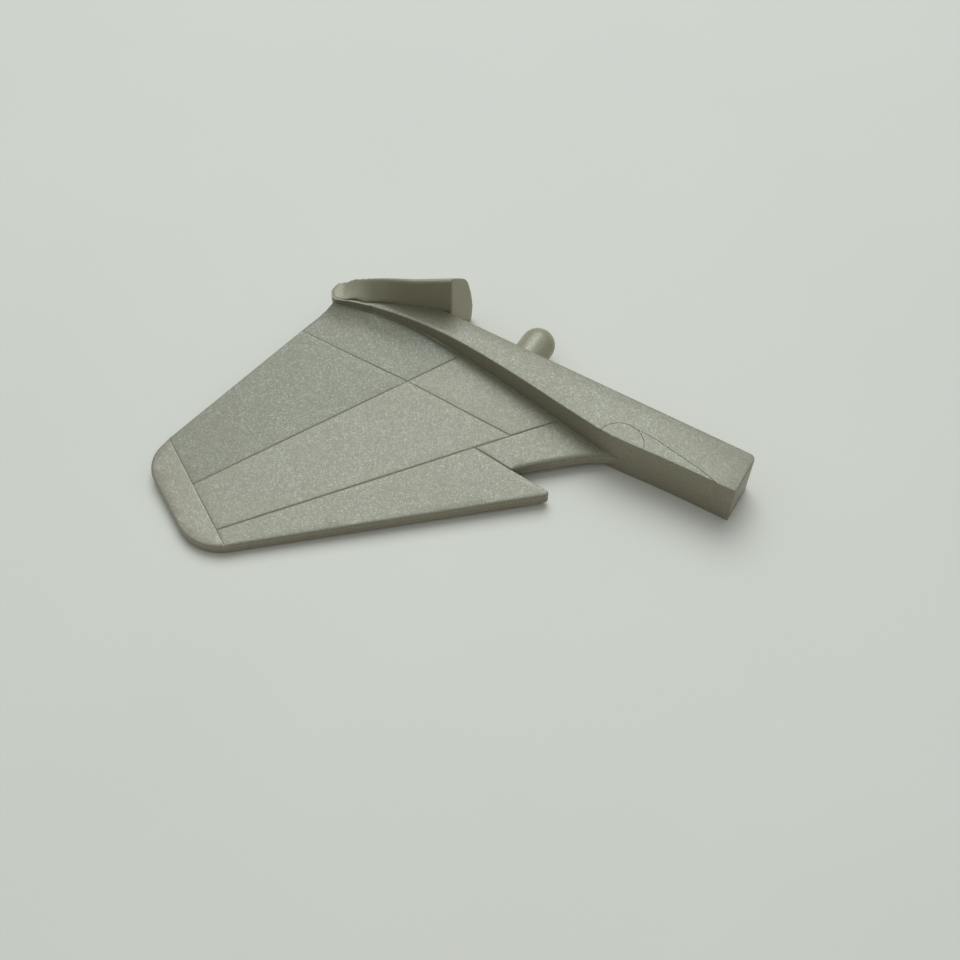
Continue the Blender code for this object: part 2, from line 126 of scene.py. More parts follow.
# Rail
RAIL_FRONT = (
    (-59.2, -5.85), (-56.3, -4.85), (-50.6, -3.83), (-44.4, -3.46), (-38.0, -3.84),
    (-30.8, -4.74), (-23.5, -5.85), (-17.0, -6.6), (-8.4, -6.3), (0.0, -6.2),
)
RAIL_NOSE_X = -60.9
RAIL_NOSE_BACK_Y = -3.3
RAIL_NOSE_FRONT_Y = -6.35
RAIL_TAPER_X = -54.4
RAIL_NOSE_BACK_RADIUS = 1.3
RAIL_NOSE_FRONT_RADIUS = 1.3
RAIL_END_RADIUS = 0.8
PLAIN_EDGE_X = -54.5  # behind this the cowl stands flush on the rail's top edge, which isn't rounded

# Lump in the bead where the wing meets the rail
BEAD_LUMP = 2.2
BEAD_LUMP_X = -45.0
BEAD_LUMP_WIDTH = 1.7

# Inlays in the rail's top
COVER_CENTRE = (-15.6, -7.0)
COVER_RADIUS = 3.05
INLAY_DEPTH = 0.35
FAIRING_CREST = ((-14.6, -4.05), (-12.1, -4.2), (-9.0, -4.73), (-5.7, -5.34), (-3.2, -6.0), (-1.6, -6.7))
FAIRING_FRONT = (-8.0, -5.0)  # how far the fairing's block runs in front of its crest's two ends

# Cowl: a D-shaped section that shrinks towards the nose
COWL_END = (-44.95, 0.30)
COWL_ANGLE = math.radians(200.96)
COWL_LENGTH = 19.0
COWL_OVERRUN = 2.2
COWL_SECTION = ((0.0, 0.0), (0.2, 12.45), (0.7, 12.62), (3.55, 9.3), (4.55, 6.2), (5.05, 2.7), (4.8, 0.0))
COWL_HEIGHT_TAPER = 0.0165
COWL_WIDTH_TAPER = 0.023
COWL_LEAN = 2.5  # how far the ridge leans back at the nose
COWL_FOOT = 1.2  # how far its foot comes forward there
COWL_DROP = 2.1  # how far the ridge comes down there
COWL_LEAN_START = 5.0
COWL_LEAN_END = 15.0
COWL_SPARKLE = 0.6  # its mica shows less than the panels'
COWL_VOXEL = 0.13
COWL_SMOOTHING = 28
BEHIND_COWL = (-50.0, 8.0)  # a plan point behind the cowl's back, from which its nose begins
SEAT_PLAN = ((-80.0, -20.0), (0.0, -20.0), (0.0, -0.05), (-80.0, -0.05))  # what the rail takes from the cowl
SEAT_SINK = 0.02  # how far the cowl sinks into the rail's top

# Peg
PEG_X = -33.4
PEG_Z = 3.4
PEG_RADIUS = 2.35
PEG_TIP_Y = 6.0
PEG_SEAT = 2.2
PEG_DOME = 0.98  # the dome's height as a share of the peg's radius

# Stage
KEY_PLACE = (-0.30, 0.50, 0.90)
KEY_SIZE = 0.8
TABLE_THICKNESS = 20.0


class WingDetailSettings(bpy.types.PropertyGroup):
    """Sizes of the fine moulded detail."""

    line_width: FloatProperty(
        name="Panel line", description="Width of one engraved line between two panels",
        default=0.42 * MM, min=0.0, unit="LENGTH", precision=5,
    )
    wing_edge: FloatProperty(
        name="Wing edge", description="Rounding of the wing's outer edge",
        default=0.32 * MM, min=0.0, unit="LENGTH", precision=5,
    )
    inboard_edge: FloatProperty(
        name="Inboard edge", description="Wider rounding of the wing's inboard edge",
        default=0.5 * MM, min=0.0, unit="LENGTH", precision=5,
    )
    rail_edge: FloatProperty(
        name="Rail edge", description="Rounding of the rail's long edges",
        default=0.16 * MM, min=0.0, unit="LENGTH", precision=5,
    )
    inlay_gap: FloatProperty(
        name="Inlay gap", description="Width of the fine line round an inlay in the rail's top",
        default=0.07 * MM, min=0.0, unit="LENGTH", precision=5,
    )
    bead_radius: FloatProperty(
        name="Seam bead", description="Radius of the bead of plastic where the wing meets the rail",
        default=0.09 * MM, min=0.0, unit="LENGTH", precision=5,
    )


class WingFinishSettings(bpy.types.PropertyGroup):
    """Colours and texture sizes of the pearl plastic."""

    pearl_grey: StringProperty(
        name="Pearl grey", description="Colour of the wing panels, as a hex value", default="#958B73",
    )
    warm_grey: StringProperty(
        name="Warm grey", description="Colour of the tip cap, as a hex value", default="#9E917A",
    )
    cowl_grey: StringProperty(
        name="Cowl grey", description="Colour of the cowl and the peg, as a hex value", default="#A69B80",
    )
    deep_grey: StringProperty(
        name="Deep grey", description="Colour of the trailing edge, as a hex value", default="#8A816A",
    )
    mica_white: StringProperty(
        name="Mica", description="Colour of the mica flakes, as a hex value", default="#D6DAD4",
    )
    flake_size: FloatProperty(
        name="Mica flake", description="Spacing of the mica flakes in the plastic",
        default=0.11 * MM, min=0.01 * MM, unit="LENGTH", precision=5,
    )
    cloud_size: FloatProperty(
        name="Clouding", description="Size of the pale and dark clouds left by the flow of the plastic",
        default=14.0 * MM, min=MM, unit="LENGTH", precision=4,
    )


class WingStageSettings(bpy.types.PropertyGroup):
    """Table, camera and light."""

    table_colour: StringProperty(
        name="Table", description="Colour of the table, as a hex value", default="#EDE3D4",
    )
    table_radius: FloatProperty(
        name="Table radius", description="Radius of the table top", default=1.5, min=0.2, unit="LENGTH",
    )
    camera_place: FloatVectorProperty(
        name="Camera", description="Place of the camera", default=(0.050948, -0.076463, 0.141), unit="LENGTH",
    )
    camera_aim: FloatVectorProperty(
        name="Aim", description="Direction in which the camera looks", default=(-0.2811, 0.4665, -0.8387),
    )
    lens: FloatProperty(
        name="Lens", description="Focal length of the camera in mm", default=48.75, min=10.0,
    )
    key_power: FloatProperty(
        name="Key light", description="Power of the soft light overhead, in watts", default=7.3, min=0.0,
    )
    light_colour: StringProperty(
        name="Light", description="Colour of the studio light, as a hex value", default="#E4F3FA",
    )
    sky_strength: FloatProperty(
        name="Sky", description="Strength of the even light from all round", default=0.56, min=0.0,
    )


def plan(x, y, z=0.0):
    """Return a plan point in mm as a place in the frame."""
    return ORIGIN + Vector((x, y, z)) * MM


def vectors(points):
    """Return plan points as vectors in mm."""
    return [Vector((x, y, 0.0)) for x, y in points]


def spline(points, steps=6):
    """Return the points of a smooth Catmull-Rom curve through the given points."""
    padded = [points[0] * 2 - points[1], *points, points[-1] * 2 - points[-2]]
    result = []
    for before, start, end, after in zip(padded, padded[1:], padded[2:], padded[3:]):
        for step in range(steps):
            t = step / steps
            result.append(0.5 * (
                start * 2
                + (end - before) * t
                + (before * 2 - start * 5 + end * 4 - after) * t ** 2
                + (start * 3 - before - end * 3 + after) * t ** 3
            ))
    return result + [points[-1]]


def fillet(before, corner, after, radius, steps=8):
    """Return the points of an arc of the given radius that rounds one corner of an outline."""
    back = (before - corner).normalized()
    ahead = (after - corner).normalized()
    half_angle = back.angle(ahead) / 2
    centre = corner + (back + ahead).normalized() * radius / math.sin(half_angle)
    tangent = radius / math.tan(half_angle)
    start = corner + back * tangent - centre
    end = corner + ahead * tangent - centre
    turn = start.angle(end)
    side = (end - start * math.cos(turn)) / math.sin(turn)
    return [
        centre + start * math.cos(turn * i / steps) + side * math.sin(turn * i / steps)
        for i in range(steps + 1)
    ]


RAIL_LINE = spline(vectors(RAIL_FRONT))


def rail_y(x):
    """Return the y of the rail's front face at one x."""
    for start, end in zip(RAIL_LINE, RAIL_LINE[1:]):
        if start.x <= x <= end.x:
            return start.y + (end.y - start.y) * (x - start.x) / (end.x - start.x)
    return RAIL_LINE[0].y


def offset(outline, distance):
    """Return an anticlockwise outline grown by the distance, or shrunk if it is negative."""
    result = []
    for before, point, after in zip(outline[-1:] + outline[:-1], outline, outline[1:] + outline[:1]):
        first = (point - before).normalized()
        second = (after - point).normalized()
        normal = Vector((first.y + second.y, -first.x - second.x, 0.0)).normalized()
        stretch = max(normal.dot(Vector((first.y, -first.x, 0.0))), 0.5)
        result.append(point + normal * distance / stretch)
    return result


def chord_fraction(x, y):
    """Return how far a plan point lies from the trailing edge towards the leading edge, 0 to 1."""
    start = -60.0 + 0.248 * (y - ROOT_Y)
    end = -7.8 + 1.125 * (y - ROOT_Y)
    return min(max((x - start) / max(end - start, 1.0), 0.0), 1.0)


def span_fraction(y):
    """Return how far a plan point lies from the root towards the tip, 0 to 1."""
    return min(max((ROOT_Y - y) / (ROOT_Y - TIP_Y), 0.0), 1.0)


def root_height(chord):
    """Return the height of the upper surface at the root."""
    return 2.4 + 2.3 * (1 - chord) + 0.6 * (1 - chord) ** 4


def upper_height(x, y):
    """Return the height of the wing's cambered upper surface."""
    chord = chord_fraction(x, y)
    span = span_fraction(y)
    return root_height(chord) * (1 - span) + (1.5 + 0.3 * chord) * span + root_rise(x, y)


def root_rise(x, y):
    """Return how far the upper surface sweeps up where it meets the rail behind the waist."""
    along = min(max((ROOT_RISE_START - x) / ROOT_RISE_LENGTH, 0.0), 1.0)
    near = max(1 - (rail_y(x) - y) / ROOT_RISE_WIDTH, 0.0)
    return ROOT_RISE * along * (3 - 2 * along) * along * min(near, 1.0) ** 2


def lower_height(x, y):
    """Return the height of the wing's lower surface."""
    chord = chord_fraction(x, y)
    return (root_height(chord) - 1.5 - 0.4 * chord) * (1 - span_fraction(y))


def seam_height(x, y):
    """Return the height of the parting seam between the upper panels and the lower skin."""
    return (upper_height(x, y) + lower_height(x, y)) / 2


def nose_outline(back, front):
    """Return the rounded nose that the rail and the cowl share."""
    nose_back = Vector((RAIL_NOSE_X, RAIL_NOSE_BACK_Y, 0.0))
    nose_front = Vector((RAIL_NOSE_X, RAIL_NOSE_FRONT_Y, 0.0))
    return [
        *fillet(back, nose_back, nose_front, RAIL_NOSE_BACK_RADIUS),
        *fillet(nose_back, nose_front, front, RAIL_NOSE_FRONT_RADIUS),
    ]


def rail_outline():
    """Return the rail's outline in plan."""
    front = RAIL_LINE
    end_back = Vector((0.0, 0.0, 0.0))
    taper = Vector((RAIL_TAPER_X, 0.0, 0.0))
    return [
        *front,
        *fillet(front[-1], end_back, taper, RAIL_END_RADIUS, 4),
        taper,
        *nose_outline(taper, front[0]),
    ]


def wing_outline():
    """Return the wing's outline in plan, which runs a little way into the rail's front face."""
    root, tip, nose, tooth, notch = vectors((TRAILING_ROOT, TRAILING_TIP, LEADING_TIP, DOGTOOTH, NOTCH))
    sunk = [point + Vector((0.0, SUNK_DEPTH, 0.0)) for point in RAIL_LINE[::-1] if -58.5 < point.x < -15.5]
    return [
        root,
        *fillet(root, tip, nose, TRAILING_TIP_RADIUS, 12),
        *fillet(tip, nose, tooth, LEADING_TIP_RADIUS, 14),
        *fillet(nose, tooth, notch, DOGTOOTH_RADIUS, 5),
        *spline(vectors(INBOARD_EDGE)),
        *sunk,
        *vectors((SUNK_CORNER,)),
    ]


def distance_to_line(point, line):
    """Return how far a plan point in mm lies from an engraved line's course."""
    start, end = vectors(line)
    along = (end - start).normalized()
    offset_ = point - start
    return abs(along.x * offset_.y - along.y * offset_.x)


def srgb(code):
    """Return a hex colour as linear red, green, blue and alpha."""
    values = [int(code[i:i + 2], 16) / 255 for i in (1, 3, 5)]
    linear = [v / 12.92 if v <= 0.04045 else ((v + 0.055) / 1.055) ** 2.4 for v in values]
    return (*linear, 1.0)


def deselect():
    """Leave edit mode and deselect everything."""
    if bpy.context.object and bpy.context.object.mode != "OBJECT":
        bpy.ops.object.mode_set(mode="OBJECT")
    bpy.ops.object.select_all(action="DESELECT")


def activate(item):
    """Make a piece the only one that is selected."""
    deselect()
    item.select_set(True)
    bpy.context.view_layer.objects.active = item


def pick(item, kind, test):
    """Enter edit mode with just the vertices, edges or faces selected whose middle passes the test."""
    activate(item)
    bpy.ops.object.mode_set(mode="EDIT")
    bpy.ops.mesh.select_mode(type=kind)
    bpy.ops.mesh.select_all(action="DESELECT")
    bpy.ops.object.mode_set(mode="OBJECT")
    mesh = item.data
    for vertex in mesh.vertices if kind == "VERT" else ():
        vertex.select = test(to_plan(vertex.co))
    for edge in mesh.edges if kind == "EDGE" else ():
        ends = [to_plan(mesh.vertices[i].co) for i in edge.vertices]
        edge.select = all(test(end) for end in ends) and test((ends[0] + ends[1]) / 2)
    for face in mesh.polygons if kind == "FACE" else ():
        face.select = test(to_plan(face.center))
    bpy.ops.object.mode_set(mode="EDIT")


def to_plan(place):
    """Return a place in the frame as a plan point in mm."""
    return (place - ORIGIN) / MM


def draw_line(name, places):
    """Draw an open line by extruding one vertex from place to place."""
    deselect()
    bpy.ops.mesh.primitive_plane_add(size=MM, location=places[0])
    item = bpy.context.object
    item.name = item.data.name = name
    bpy.ops.object.mode_set(mode="EDIT")
    bpy.ops.mesh.select_mode(type="VERT")
    bpy.ops.mesh.select_all(action="SELECT")
    bpy.ops.mesh.merge(type="CENTER")
    for start, end in zip(places, places[1:]):
        bpy.ops.mesh.extrude_vertices_move(TRANSFORM_OT_translate={"value": end - start})
    bpy.ops.object.mode_set(mode="OBJECT")
    bpy.ops.object.transform_apply(location=True, rotation=True, scale=True)
    return item


def trace(name, places):
    """Draw a flat face whose outline runs from place to place."""
    item = draw_line(name, places)
    bpy.ops.object.mode_set(mode="EDIT")
    bpy.ops.mesh.select_all(action="SELECT")
    bpy.ops.mesh.edge_face_add()
    bpy.ops.object.mode_set(mode="OBJECT")
    return item


def plan_face(name, outline, height):
    """Return a level face with a plan outline, at a height in mm."""
    return trace(name, [plan(point.x, point.y, height) for point in outline])


def thicken(item, depth):
    """Extrude a flat face down into a slab of the given depth in mm."""
    activate(item)
    bpy.ops.object.mode_set(mode="EDIT")
    bpy.ops.mesh.select_all(action="SELECT")
    bpy.ops.mesh.extrude_region_move(TRANSFORM_OT_translate={"value": (0.0, 0.0, -depth * MM)})
    bpy.ops.mesh.select_all(action="SELECT")
    bpy.ops.mesh.normals_make_consistent(inside=False)
    bpy.ops.object.mode_set(mode="OBJECT")


def copied(item, name):
    """Return a copy of a piece with its own mesh."""
    activate(item)
    bpy.ops.object.duplicate()
    twin = bpy.context.object
    twin.name = twin.data.name = name
    return twin


def removed(item):
    """Delete a helper object."""
    activate(item)
    bpy.ops.object.delete()


def trim(item, line, inside, shift):
    """Bisect a flat face along a line, and keep the side on which a plan point lies."""
    start, end = vectors(line)
    along = (end - start).normalized()
    away = Vector((along.y, -along.x, 0.0))
    if away.dot(Vector((*inside, 0.0)) - start) > 0:
        away.negate()
    place = start - away * shift
    activate(item)
    bpy.ops.object.mode_set(mode="EDIT")
    bpy.ops.mesh.select_all(action="SELECT")
    bpy.ops.mesh.bisect(plane_co=plan(place.x, place.y), plane_no=away, clear_outer=True)
    bpy.ops.object.mode_set(mode="OBJECT")


def weigh(item, weight, test):
    """Give the picked edges a bevel weight."""
    pick(item, "EDGE", test)
    bpy.ops.transform.edge_bevelweight(value=weight)
    bpy.ops.object.mode_set(mode="OBJECT")


def bevelled(item, width, segments=3, method="WEIGHT", angle=40.0):
    """Round a piece's edges with an applied Bevel modifier."""
    activate(item)
    modifier = item.modifiers.new("edges", "BEVEL")
    modifier.width = width
    modifier.segments = segments
    modifier.limit_method = method
    modifier.angle_limit = math.radians(angle)
    modifier.use_clamp_overlap = False
    bpy.ops.object.modifier_apply(modifier=modifier.name)


def carved(item, cutter, operation="DIFFERENCE"):
    """Cut a piece with a helper object, which is then deleted."""
    activate(item)
    modifier = item.modifiers.new("cut", "BOOLEAN")
    modifier.operation = operation
    modifier.solver = "EXACT"
    modifier.object = cutter
    bpy.ops.object.modifier_apply(modifier=modifier.name)
    removed(cutter)
    activate(item)


def gridded(item, spacing=DRAPE_CELL):
    """Bisect a slab all over in a grid, so that it can follow a curved surface."""
    activate(item)
    bpy.ops.object.mode_set(mode="EDIT")
    corners = [to_plan(Vector(corner)) for corner in item.bound_box]
    for axis, normal in ((0, (1, 0, 0)), (1, (0, 1, 0))):
        low = min(corner[axis] for corner in corners)
        high = max(corner[axis] for corner in corners)
        count = int((high - low) / spacing)
        for step in range(1, count + 1):
            place = [0.0, 0.0]
            place[axis] = low + (high - low) * step / (count + 1)
            bpy.ops.mesh.select_all(action="SELECT")
            bpy.ops.mesh.bisect(plane_co=plan(*place), plane_no=normal)
    bpy.ops.object.mode_set(mode="OBJECT")


def draped(item, top, bottom):
    """Lay a flat slab between two curved surfaces, given by their height functions."""
    for vertex in item.data.vertices:
        x, y, z = to_plan(vertex.co)
        high, low = top(x, y), bottom(x, y)
        vertex.co.z = (high + (low - high) * -z / SLAB) * MM


def shallow(item, lines):
    """Make a slab's rounding along its engraved lines as shallow as each line is."""
    for vertex in item.data.vertices:
        place = to_plan(vertex.co)
        near = [LINE_DEPTHS[line] for line in lines if distance_to_line(place, line) < LINE_REACH]
        if near and place.z > -SLAB / 2:
            vertex.co.z *= max(near)


def finished(item, node, material, angle=35.0):
    """Shade a piece, give it its finish and let it stand for its CAD node."""
    activate(item)
    bpy.ops.object.transform_apply(location=True, rotation=True, scale=True)
    bpy.ops.object.mode_set(mode="EDIT")
    bpy.ops.mesh.select_all(action="SELECT")
    bpy.ops.mesh.remove_doubles(threshold=0.002 * MM)
    bpy.ops.mesh.normals_make_consistent(inside=False)
    bpy.ops.object.mode_set(mode="OBJECT")
    bpy.ops.object.shade_smooth_by_angle(angle=math.radians(angle))
    item.data.materials.clear()
    item.data.materials.append(material)
    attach(item, "root")
    if node:
        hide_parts(node)


def add(tree, kind, settings=None, links=None):
    """Add a node with its settings and input values, and feed its inputs."""
    node = tree.nodes.new(kind)
    for key, value in (settings or {}).items():
        if isinstance(key, str) and hasattr(node, key):
            setattr(node, key, value)
        else:
            node.inputs[key].default_value = value
    for key, source in (links or {}).items():
        tree.links.new(source, node.inputs[key])
    return node


def pearl_plastic(name, tone, finish, sparkle=1.0):
    """Return injection-moulded ABS with mica pearl pigment.

    The eye sees a satin skin, fine pale and dark flakes, and soft clouds where the melt flowed.
    """
    if name in bpy.data.materials:
        return bpy.data.materials[name]
    material = bpy.data.materials.new(name)
    material.use_nodes = True
    tree = material.node_tree
    shader = tree.nodes["Principled BSDF"]
    place = add(tree, "ShaderNodeTexCoord").outputs["Object"]
    flakes = add(tree, "ShaderNodeTexVoronoi", {"Scale": 1 / finish.flake_size}, {"Vector": place})
    grain = add(
        tree, "ShaderNodeTexNoise", {"Scale": 1 / finish.flake_size, "Detail": 1.0}, {"Vector": place},
    )
    clouds = add(
        tree, "ShaderNodeTexNoise",
        {"Scale": 1 / finish.cloud_size, "Detail": 4.0, "Roughness": 0.6}, {"Vector": place},
    )
    chance = add(tree, "ShaderNodeSeparateColor", {}, {"Color": flakes.outputs["Color"]}).outputs["Red"]
    flake = add(tree, "ShaderNodeMath", {"operation": "POWER", 1: 4.0}, {0: chance}).outputs["Value"]
    cloud_shade = add(
        tree, "ShaderNodeMapRange",
        {"From Min": 0.3, "From Max": 0.7, "To Min": 0.95, "To Max": 1.05}, {"Value": clouds.outputs["Fac"]},
    )
    grain_shade = add(
        tree, "ShaderNodeMapRange",
        {"From Min": 0.25, "From Max": 0.75, "To Min": 1 - 0.1 * sparkle, "To Max": 1 + 0.1 * sparkle},
        {"Value": grain.outputs["Fac"]},
    )
    shade = add(
        tree, "ShaderNodeMath", {"operation": "MULTIPLY"},
        {0: grain_shade.outputs["Result"], 1: cloud_shade.outputs["Result"]},
    )
    melt = add(
        tree, "ShaderNodeVectorMath",
        {"operation": "SCALE", 0: srgb(tone)[:3]}, {"Scale": shade.outputs["Value"]},
    )
    cover = add(tree, "ShaderNodeMapRange", {"To Max": 0.27 * sparkle}, {"Value": flake})
    colour = add(tree, "ShaderNodeMix", {"data_type": "RGBA"})
    tree.links.new(cover.outputs["Result"], colour.inputs["Factor"])
    tree.links.new(melt.outputs["Vector"], colour.inputs[6])
    colour.inputs[7].default_value = srgb(finish.mica_white)
    tree.links.new(colour.outputs[2], shader.inputs["Base Color"])
    metal = add(tree, "ShaderNodeMapRange", {"To Min": 0.08, "To Max": 0.4}, {"Value": flake})
    tree.links.new(metal.outputs["Result"], shader.inputs["Metallic"])
    rough = add(
        tree, "ShaderNodeMapRange",
        {"From Min": 0.3, "From Max": 0.7, "To Min": 0.33, "To Max": 0.42}, {"Value": clouds.outputs["Fac"]},
    )
    tree.links.new(rough.outputs["Result"], shader.inputs["Roughness"])
    bump = add(
        tree, "ShaderNodeBump", {"Strength": 0.3 * sparkle, "Distance": 0.02 * MM},
        {"Height": grain.outputs["Fac"]},
    )
    tree.links.new(bump.outputs["Normal"], shader.inputs["Normal"])
    shader.inputs["IOR"].default_value = 1.54
    shader.inputs["Specular IOR Level"].default_value = 0.4
    return material


def table_laminate(name, tone):
    """Return matt white laminate: even, with a very faint unevenness that the eye reads as a real board."""
    material = bpy.data.materials.new(name)
    material.use_nodes = True
    tree = material.node_tree
    shader = tree.nodes["Principled BSDF"]
    place = add(tree, "ShaderNodeTexCoord").outputs["Object"]
    clouds = add(tree, "ShaderNodeTexNoise", {"Scale": 1 / (40 * MM), "Detail": 3.0}, {"Vector": place})
    shade = add(
        tree, "ShaderNodeMapRange", {"To Min": 0.97, "To Max": 1.02}, {"Value": clouds.outputs["Fac"]},
    )
    colour = add(
        tree, "ShaderNodeVectorMath",
        {"operation": "SCALE", 0: srgb(tone)[:3]}, {"Scale": shade.outputs["Result"]},
    )
    tree.links.new(colour.outputs["Vector"], shader.inputs["Base Color"])
    shader.inputs["Roughness"].default_value = 0.6
    return material


class WING_OT_upper_panels(bpy.types.Operator):
    """Model the seven upper panels, parted by the engraved lines"""

    bl_idname = "wing.upper_panels"
    bl_label = "Upper panels"

    def execute(self, context):
        """Bisect a flat wing face into panels, round their edges and drape them."""
        detail = context.scene.wing_detail
        finish = context.scene.wing_finish
        tones = {
            "tip_plastic": finish.warm_grey, "trailing_plastic": finish.deep_grey,
            "panel_plastic": finish.pearl_grey, "leading_plastic": finish.pearl_grey,
        }
        blank = plan_face("wing_blank", wing_outline(), 0.0)
        for name, (inside, lines) in PANELS.items():
            panel = copied(blank, name + "_skin")
            for line in lines:
                trim(panel, line, inside, LINE_CLEARANCE)
            thicken(panel, SLAB)
            self.weigh_edges(panel, lines, detail)
            bevelled(panel, detail.inboard_edge)
            shallow(panel, lines)
            gridded(panel)
            draped(panel, upper_height, seam_height)
            slot = PANEL_SLOTS[name]
            finished(panel, name, pearl_plastic("pearl_abs_" + slot, tones[slot], finish))
        removed(blank)
        return {"FINISHED"}

    def weigh_edges(self, panel, lines, detail):
        """Mark the edges along engraved lines for a fine bevel and the outer edges for a wide one."""
        def by_rail(point):
            return point.x > -59.0 and point.x < -15.0 and point.y > rail_y(point.x) - 0.05

        def by_line(point):
            return any(distance_to_line(point, line) < LINE_TOLERANCE for line in lines)

        def inboard(point):
            return point.x > NOTCH[0] + 0.1 and point.y > NOTCH[1] + 0.1

        edge = detail.wing_edge / detail.inboard_edge
        fine = detail.line_width / 2 / detail.inboard_edge
        weigh(panel, edge, lambda point: point.z > -EDGE_TOLERANCE)
        weigh(
            panel, 1 - edge,
            lambda point: point.z > -EDGE_TOLERANCE and inboard(point) and not by_line(point),
        )
        weigh(panel, fine - edge, lambda point: point.z > -EDGE_TOLERANCE and by_line(point))
        weigh(panel, LOWER_EDGE_SHARE, lambda point: point.z < EDGE_TOLERANCE - SLAB)
        weigh(panel, -1.0, lambda point: by_rail(point))
        weigh(panel, -1.0, lambda point: point.z < EDGE_TOLERANCE - SLAB and by_line(point))


class WING_OT_lower_skin(bpy.types.Operator):
    """Model the lower skin of the wing"""

    bl_idname = "wing.lower_skin"
    bl_label = "Lower skin"

    def execute(self, context):
        """Thicken the wing's outline, round it and drape it between the seam and the lower surface."""
        detail = context.scene.wing_detail
        shell = plan_face("lower_skin_shell", wing_outline(), 0.0)
        thicken(shell, SLAB)
        weigh(shell, SEAM_EDGE_SHARE, lambda point: point.z > -EDGE_TOLERANCE)
        weigh(shell, 1.0, lambda point: point.z < EDGE_TOLERANCE - SLAB)
        bevelled(shell, detail.wing_edge)
        gridded(shell)
        draped(shell, seam_height, lower_height)
        finish = context.scene.wing_finish
        plastic = pearl_plastic("pearl_abs_shell_plastic", finish.pearl_grey, finish)
        finished(shell, "lower_skin", plastic)
        return {"FINISHED"}


class WING_OT_root_rail(bpy.types.Operator):
    """Model the waisted root rail with the pockets for its inlays"""

    bl_idname = "wing.root_rail"
    bl_label = "Root rail"

    def execute(self, context):
        """Thicken the rail's outline, round its long edges and cut the pockets."""
        detail = context.scene.wing_detail
        finish = context.scene.wing_finish
        rail = plan_face("root_rail_body", rail_outline(), RAIL_TOP)
        thicken(rail, RAIL_TOP)
        weigh(rail, 1.0, lambda point: point.z > RAIL_TOP - EDGE_TOLERANCE)
        weigh(rail, 1.0, lambda point: point.z < EDGE_TOLERANCE)
        weigh(rail, 1.0, lambda point: point.x > -0.01 and point.y < -6.1)
        weigh(rail, -1.0, lambda point: point.x < PLAIN_EDGE_X and point.z > RAIL_TOP - EDGE_TOLERANCE)
        bevelled(rail, detail.rail_edge)
        gap = detail.inlay_gap / MM / 2
        carved(rail, cover_disc("cover_pocket", COVER_RADIUS + gap, RAIL_TOP + 1.0))
        carved(rail, fairing_block("fairing_pocket", gap, RAIL_TOP + 1.0))
        bead = self.seam_bead(detail.bead_radius)
        activate(bead)
        rail.select_set(True)
        bpy.context.view_layer.objects.active = rail
        bpy.ops.object.join()
        plastic = pearl_plastic("pearl_abs_rail_plastic", finish.pearl_grey, finish)
        finished(rail, "root_rail", plastic)
        return {"FINISHED"}

    def seam_bead(self, radius):
        """Return the thin bead of plastic that runs where the wing's upper surface meets the rail."""
        course = [point for point in RAIL_LINE if -58.0 < point.x < -15.0]
        places = [plan(point.x, point.y - 0.03, upper_height(point.x, point.y)) for point in course]
        bead = draw_line("seam_bead", places)
        bpy.ops.object.convert(target="CURVE")
        bead = bpy.context.object
        bead.data.bevel_depth = radius
        bead.data.bevel_resolution = 3
        bead.data.use_fill_caps = True
        for knot in bead.data.splines[0].points:
            x = to_plan(knot.co.xyz).x
            knot.radius = 1 + BEAD_LUMP * math.exp(-((x - BEAD_LUMP_X) / BEAD_LUMP_WIDTH) ** 2)
        bpy.ops.object.convert(target="MESH")
        return bead


def cover_disc(name, radius, top):
    """Return a disc on the round cover's centre, down to the floor of the inlays."""
    deselect()
    depth = top - RAIL_TOP + INLAY_DEPTH
    bpy.ops.mesh.primitive_cylinder_add(
        vertices=96, radius=radius * MM, depth=depth * MM, location=plan(*COVER_CENTRE, top - depth / 2),
    )
    disc = bpy.context.object
    disc.name = disc.data.name = name
    bpy.ops.object.transform_apply(location=True, rotation=True, scale=True)
    return disc


def fairing_block(name, growth, top):
    """Return a block over the fairing's outline, down to the floor of the inlays."""
    crest = spline(vectors(FAIRING_CREST))
    front = [end + Vector((0.0, reach, 0.0)) for end, reach in zip((crest[0], crest[-1]), FAIRING_FRONT)]
    outline = [*front, *crest[::-1]]
    block = plan_face(name, offset(outline, growth), top)
    thicken(block, top - RAIL_TOP + INLAY_DEPTH)
    return block


class WING_OT_inlays(bpy.types.Operator):
    """Model the round cover and the fairing, flush with the rail's top"""

    bl_idname = "wing.inlays"
    bl_label = "Inlays"

    def execute(self, context):
        """Cut both inlays out of a copy of the rail's solid."""
        detail = context.scene.wing_detail
        finish = context.scene.wing_finish
        gap = detail.inlay_gap / MM / 2
        plastic = pearl_plastic("pearl_abs_inlay_plastic", finish.pearl_grey, finish)
        blank = plan_face("rail_blank", rail_outline(), RAIL_TOP)
        thicken(blank, RAIL_TOP)
        weigh(blank, 1.0, lambda point: point.z > RAIL_TOP - EDGE_TOLERANCE)
        bevelled(blank, detail.rail_edge)
        cover = cover_disc("round_cover_disc", COVER_RADIUS - gap, RAIL_TOP + 1.0)
        carved(cover, copied(blank, "cover_limit"), "INTERSECT")
        finished(cover, "round_cover", plastic)
        fairing = fairing_block("edge_fairing_block", -gap, RAIL_TOP + 1.0)
        carved(fairing, blank, "INTERSECT")
        carved(fairing, cover_disc("cover_clearance", COVER_RADIUS + gap, RAIL_TOP + 2.0))
        finished(fairing, "edge_fairing", plastic)
        return {"FINISHED"}


